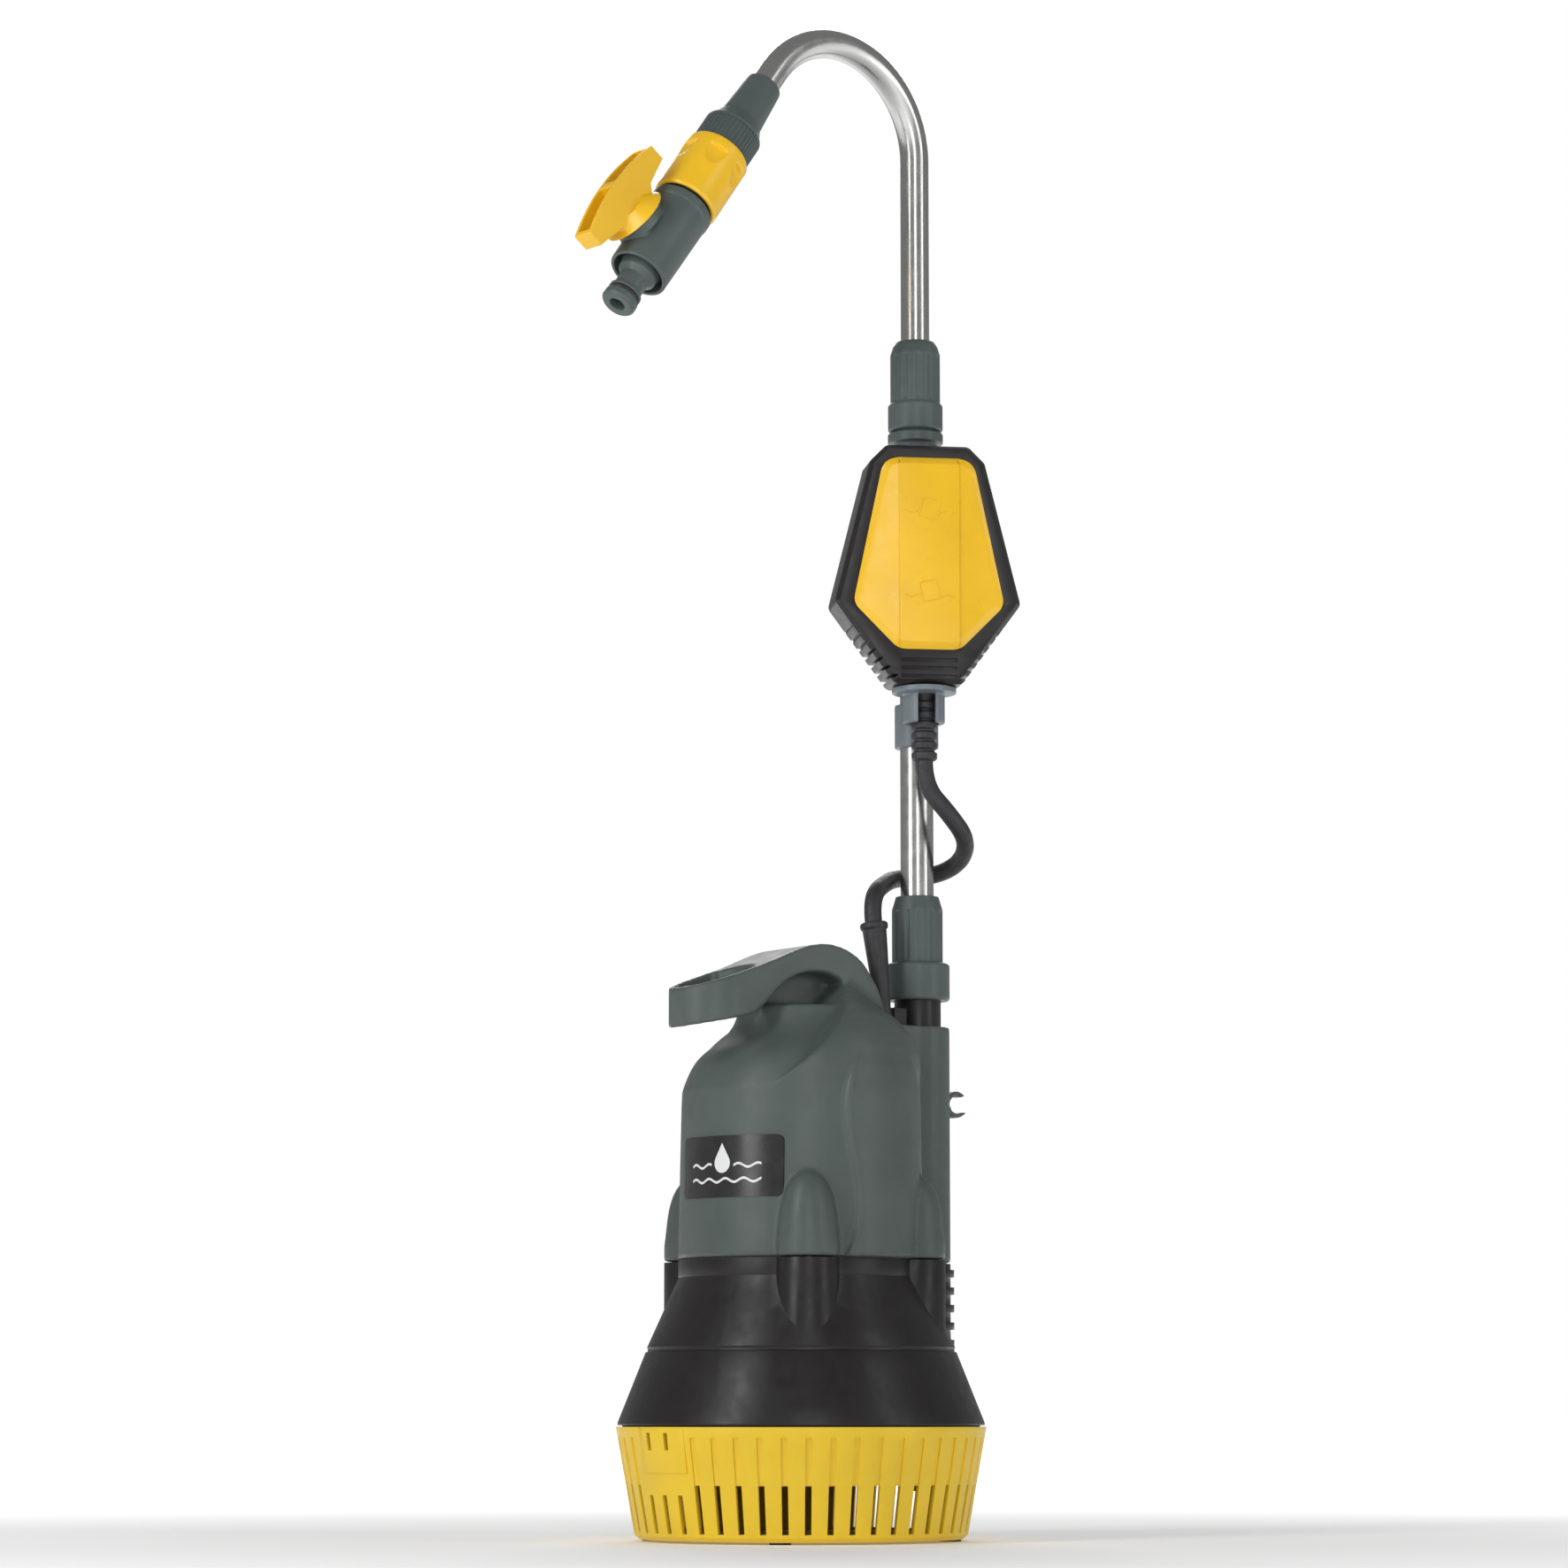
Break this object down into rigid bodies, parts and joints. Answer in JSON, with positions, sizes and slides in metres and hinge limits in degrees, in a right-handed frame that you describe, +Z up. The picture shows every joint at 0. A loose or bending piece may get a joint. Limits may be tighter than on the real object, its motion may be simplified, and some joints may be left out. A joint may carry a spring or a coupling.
{
  "type": "submersible rain barrel pump",
  "caption": "Small submersible pump with a slotted strainer base, telescopic riser, curved spout with ball tap and click coupling, and an upright float switch.",
  "frame": {"origin": "on the floor under the motor axis, at the centre pad's face", "axes": "+Z up along the motor axis, -Y to the front where the handle loop and the spout point, +Y to the riser"},
  "size_m": [0.1736, 0.2413, 0.729],
  "materials": {
    "strainer_yellow": "satin moulded plastic",
    "shell_green": "satin moulded plastic",
    "housing_black": "satin moulded plastic",
    "fitting_green": "satin moulded plastic",
    "coupling_yellow": "semi-gloss moulded plastic",
    "holder_grey": "satin moulded plastic",
    "label_black": "printed foil, blank",
    "tube_aluminium": "drawn and polished",
    "steel": "turned",
    "brass": "turned",
    "seal_rubber": "moulded",
    "cable_black": "cable sheath",
    "inner_plastic": "glass-filled plastic",
    "iron_core": "laminated sheet",
    "copper_winding": "enamelled winding"
  },
  "bodies": {
    "pump": {"lower_housing": "housing_black", "housing_seal": "seal_rubber", "housing_screws": "steel", "volute_cover": "housing_black", "volute_gasket": "seal_rubber", "volute_screws": "steel", "shaft_seal": "seal_rubber", "motor_end_plate": "steel", "lower_bearing": "steel", "upper_bearing": "steel", "motor_can": "steel", "stator_core": "iron_core", "motor_windings": "copper_winding", "capacitor": "inner_plastic", "upper_shell": "shell_green", "label_plate": "label_black", "discharge_stub": "housing_black", "lower_tube_seal": "seal_rubber", "lower_collet": "inner_plastic", "lower_tube": "tube_aluminium", "upper_socket": "fitting_green", "upper_tube_seal": "seal_rubber", "float_frame": "housing_black", "float_front_cover": "coupling_yellow", "float_back_cover": "coupling_yellow", "float_seal": "seal_rubber", "ball_channel": "inner_plastic", "micro_switch": "inner_plastic", "float_cable_relief": "cable_black", "float_holder": "holder_grey", "cable_sleeve": "cable_black", "mains_gland": "cable_black", "float_cable": "cable_black"},
    "strainer": {"strainer_base": "strainer_yellow", "foot_pads": "seal_rubber"},
    "rotor": {"impeller": "inner_plastic", "impeller_nut": "brass", "motor_shaft": "steel", "rotor_core": "iron_core"},
    "lower_nut": {"lower_clamp_nut": "fitting_green"},
    "upper_nut": {"upper_clamp_nut": "fitting_green"},
    "collet": {"upper_tube_collet": "inner_plastic"},
    "telescope": {"upper_tube": "tube_aluminium", "spout_sleeve": "fitting_green", "coupling_body": "fitting_green", "coupling_seal": "seal_rubber", "coupling_spring": "steel"},
    "union": {"knurled_ring": "fitting_green"},
    "collar": {"coupling_collar": "coupling_yellow"},
    "tap": {"valve_body": "fitting_green", "valve_seats": "inner_plastic", "valve_nipple": "fitting_green", "nipple_o_ring": "seal_rubber"},
    "tap_handle": {"valve_lever": "coupling_yellow", "valve_stem": "brass", "valve_ball": "brass"},
    "float_weight": {"switch_ball": "steel"}
  },
  "joints": [
    {"name": "strainer_release", "type": "slide", "parent": "pump", "child": "strainer", "axis": [0, 0, -1], "range_m": [0, 0.06]},
    {"name": "rotor_spin", "type": "hinge", "parent": "pump", "child": "rotor", "pos_m": [0, 0, 0.1], "axis": [0, 0, 1], "continuous": true},
    {"name": "lower_nut_turn", "type": "hinge", "parent": "pump", "child": "lower_nut", "pos_m": [0, 0.0689, 0.28], "axis": [0, 0, 1], "range_deg": [0, 180]},
    {"name": "upper_nut_turn", "type": "hinge", "parent": "pump", "child": "upper_nut", "pos_m": [0, 0.0689, 0.28], "axis": [0, 0, 1], "range_deg": [0, 180]},
    {"name": "spout_swivel", "type": "hinge", "parent": "pump", "child": "collet", "pos_m": [0, 0.0689, 0.28], "axis": [0, 0, 1], "range_deg": [-180, 180]},
    {"name": "telescope_slide", "type": "slide", "parent": "collet", "child": "telescope", "axis": [0, 0, 1], "range_m": [-0.08, 0.15]},
    {"name": "union_turn", "type": "hinge", "parent": "telescope", "child": "union", "pos_m": [0.01045, -0.05052, 0.66118], "axis": [0.0515, -0.5884, -0.807], "range_deg": [0, 180]},
    {"name": "collar_slide", "type": "slide", "parent": "telescope", "child": "collar", "axis": [-0.0515, 0.5884, 0.807], "range_m": [0, 0.0035], "stiffness_N_per_m": 600, "springref_m": -0.002},
    {"name": "tap_swivel", "type": "hinge", "parent": "telescope", "child": "tap", "pos_m": [0.01354, -0.08582, 0.61277], "axis": [0.0515, -0.5884, -0.807], "range_deg": [-180, 180]},
    {"name": "tap_lever", "type": "hinge", "parent": "tap", "child": "tap_handle", "pos_m": [0.01406, -0.09183, 0.60453], "axis": [0.0703, -0.8039, 0.5906], "range_deg": [0, 90]},
    {"name": "float_weight_slide", "type": "slide", "parent": "pump", "child": "float_weight", "axis": [0, 0, 1], "range_m": [0, 0.014]}
  ]
}
